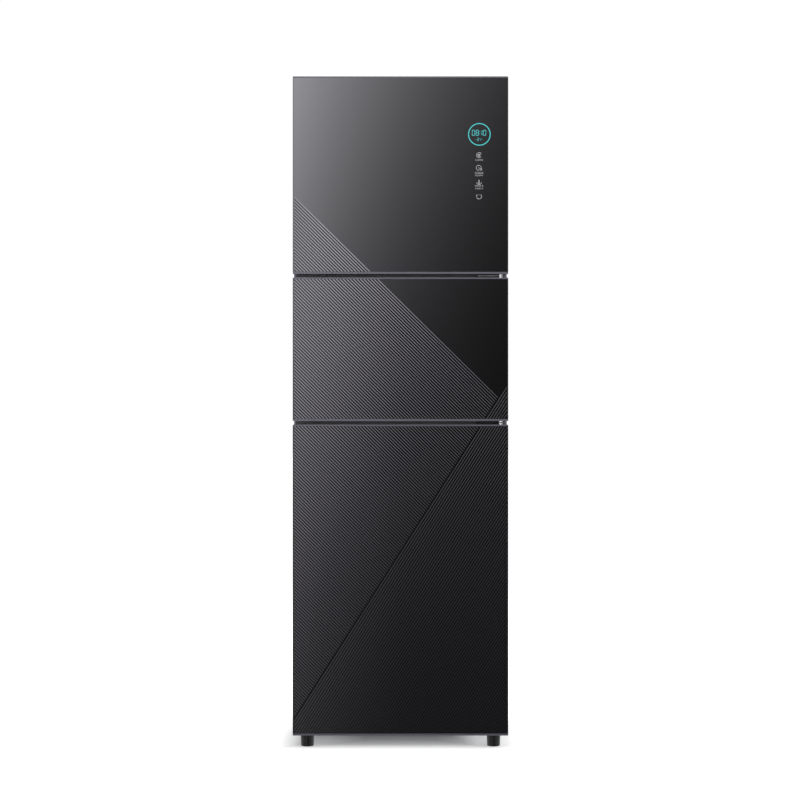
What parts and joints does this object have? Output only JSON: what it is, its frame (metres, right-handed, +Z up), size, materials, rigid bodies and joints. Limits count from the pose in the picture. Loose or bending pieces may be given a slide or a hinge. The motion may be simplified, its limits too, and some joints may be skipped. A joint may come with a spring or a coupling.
{
  "type": "dish sterilizer cabinet",
  "caption": "Tall free-standing dish sterilizer cabinet with stacked hinged black-glass doors, a lit ring display, wire shelves, a plate rack, ultraviolet and infrared tubes and moulded feet.",
  "frame": {"origin": "on the floor, under the middle of the cabinet's bounding box", "axes": "+Z up, +X to the right as one faces the doors, -Y the way the doors face"},
  "size_m": [0.515, 0.41, 1.61],
  "materials": {
    "case_paint": "satin purple-grey paint",
    "face_paint": "satin dark grey paint",
    "galvanised_sheet": "plain galvanised sheet",
    "stainless_sheet": "brushed",
    "zinc_steel": "zinc plated",
    "bright_steel": "bright plated",
    "black_plastic": "fine matt",
    "black_gloss": "polished",
    "door_aluminium": "anodised purple-grey, satin",
    "black_glass": "black printed back with a striped mirror coating",
    "seal_silicone": "soft, matt",
    "bush_plastic": "acetal",
    "circuit_board": "solder mask",
    "heater_alloy": "plain",
    "lamp_glass": "clear tube",
    "quartz_glass": "frosted quartz",
    "white_ceramic": "unglazed",
    "white_plastic": "fine matt",
    "reflector_aluminium": "polished",
    "light_guide": "translucent teal"
  },
  "bodies": {
    "cabinet": {"left_side_panel": "case_paint", "right_side_panel": "case_paint", "top_panel": "case_paint", "base_pan": "galvanised_sheet", "back_panel": "galvanised_sheet", "face_frame": "face_paint", "top_hinge": "zinc_steel", "upper_middle_hinge": "zinc_steel", "lower_middle_hinge": "zinc_steel", "bottom_hinge": "zinc_steel", "hinge_pins": "bright_steel", "hinge_caps": "black_plastic", "hinge_screws": "bright_steel", "feet": "black_gloss", "foot_screws": "zinc_steel", "panel_screws": "bright_steel", "cord_gland": "black_plastic", "power_board": "circuit_board", "ptc_heater": "heater_alloy", "fan_housing": "black_plastic", "air_grille": "stainless_sheet", "uv_tube": "lamp_glass", "uv_lamp_holders": "white_plastic", "uv_guard": "bright_steel", "quartz_tubes": "quartz_glass", "tube_holders": "white_ceramic", "heater_reflectors": "reflector_aluminium", "heater_guards": "bright_steel", "temperature_probes": "bright_steel", "door_switches": "black_plastic", "shelf_runners": "stainless_sheet", "upper_liner": "stainless_sheet", "middle_liner": "stainless_sheet", "lower_liner": "stainless_sheet"},
    "upper_door": {"upper_door_frame": "door_aluminium", "upper_door_glass": "black_glass", "upper_door_back": "stainless_sheet", "upper_door_seal": "seal_silicone", "upper_door_bushes": "bush_plastic", "display_board": "circuit_board", "display_ring": "light_guide"},
    "middle_door": {"middle_door_frame": "door_aluminium", "middle_door_glass": "black_glass", "middle_door_back": "stainless_sheet", "middle_door_seal": "seal_silicone", "middle_door_bushes": "bush_plastic"},
    "lower_door": {"lower_door_frame": "door_aluminium", "lower_door_glass": "black_glass", "lower_door_back": "stainless_sheet", "lower_door_seal": "seal_silicone", "lower_door_bushes": "bush_plastic"},
    "fan_rotor": {"fan_rotor": "black_plastic"},
    "upper_shelf": {"upper_shelf": "bright_steel"},
    "middle_shelf": {"middle_shelf": "bright_steel"},
    "lower_shelf": {"lower_shelf": "bright_steel"},
    "plate_rack": {"plate_rack": "bright_steel"},
    "drip_tray": {"drip_tray": "stainless_sheet"},
    "upper_switch_plunger": {"upper_switch_plunger": "white_plastic"},
    "middle_switch_plunger": {"middle_switch_plunger": "white_plastic"},
    "lower_switch_plunger": {"lower_switch_plunger": "white_plastic"}
  },
  "joints": [
    {"name": "upper_door_hinge", "type": "hinge", "parent": "cabinet", "child": "upper_door", "pos_m": [0.2395, -0.185, 1.374], "axis": [0, 0, 1], "range_deg": [0, 120]},
    {"name": "middle_door_hinge", "type": "hinge", "parent": "cabinet", "child": "middle_door", "pos_m": [0.2395, -0.185, 0.958], "axis": [0, 0, 1], "range_deg": [0, 120]},
    {"name": "lower_door_hinge", "type": "hinge", "parent": "cabinet", "child": "lower_door", "pos_m": [0.2395, -0.185, 0.4065], "axis": [0, 0, 1], "range_deg": [0, 120]},
    {"name": "upper_shelf_slide", "type": "slide", "parent": "cabinet", "child": "upper_shelf", "axis": [0, -1, 0], "range_m": [0, 0.16]},
    {"name": "middle_shelf_slide", "type": "slide", "parent": "cabinet", "child": "middle_shelf", "axis": [0, -1, 0], "range_m": [0, 0.16]},
    {"name": "lower_shelf_slide", "type": "slide", "parent": "cabinet", "child": "lower_shelf", "axis": [0, -1, 0], "range_m": [0, 0.16]},
    {"name": "plate_rack_slide", "type": "slide", "parent": "cabinet", "child": "plate_rack", "axis": [0, -1, 0], "range_m": [0, 0.16]},
    {"name": "drip_tray_slide", "type": "slide", "parent": "cabinet", "child": "drip_tray", "axis": [0, -1, 0], "range_m": [0, 0.16]},
    {"name": "upper_plunger_slide", "type": "slide", "parent": "cabinet", "child": "upper_switch_plunger", "axis": [0, -1, 0], "range_m": [0, 0.003]},
    {"name": "middle_plunger_slide", "type": "slide", "parent": "cabinet", "child": "middle_switch_plunger", "axis": [0, -1, 0], "range_m": [0, 0.003]},
    {"name": "lower_plunger_slide", "type": "slide", "parent": "cabinet", "child": "lower_switch_plunger", "axis": [0, -1, 0], "range_m": [0, 0.003]},
    {"name": "fan_spin", "type": "hinge", "parent": "cabinet", "child": "fan_rotor", "pos_m": [0, 0.1705, 1.266], "axis": [0, 1, 0], "continuous": true}
  ],
  "couplings": [
    {"joint": "upper_shelf_slide", "follows": "upper_door_hinge", "m_per_rad": 0.0763},
    {"joint": "middle_shelf_slide", "follows": "middle_door_hinge", "m_per_rad": 0.0763},
    {"joint": "lower_shelf_slide", "follows": "lower_door_hinge", "m_per_rad": 0.0763},
    {"joint": "plate_rack_slide", "follows": "lower_door_hinge", "m_per_rad": 0.0763},
    {"joint": "drip_tray_slide", "follows": "lower_door_hinge", "m_per_rad": 0.0763},
    {"joint": "upper_plunger_slide", "follows": "upper_door_hinge", "m_per_rad": 0.00143},
    {"joint": "middle_plunger_slide", "follows": "middle_door_hinge", "m_per_rad": 0.00143},
    {"joint": "lower_plunger_slide", "follows": "lower_door_hinge", "m_per_rad": 0.00143}
  ]
}
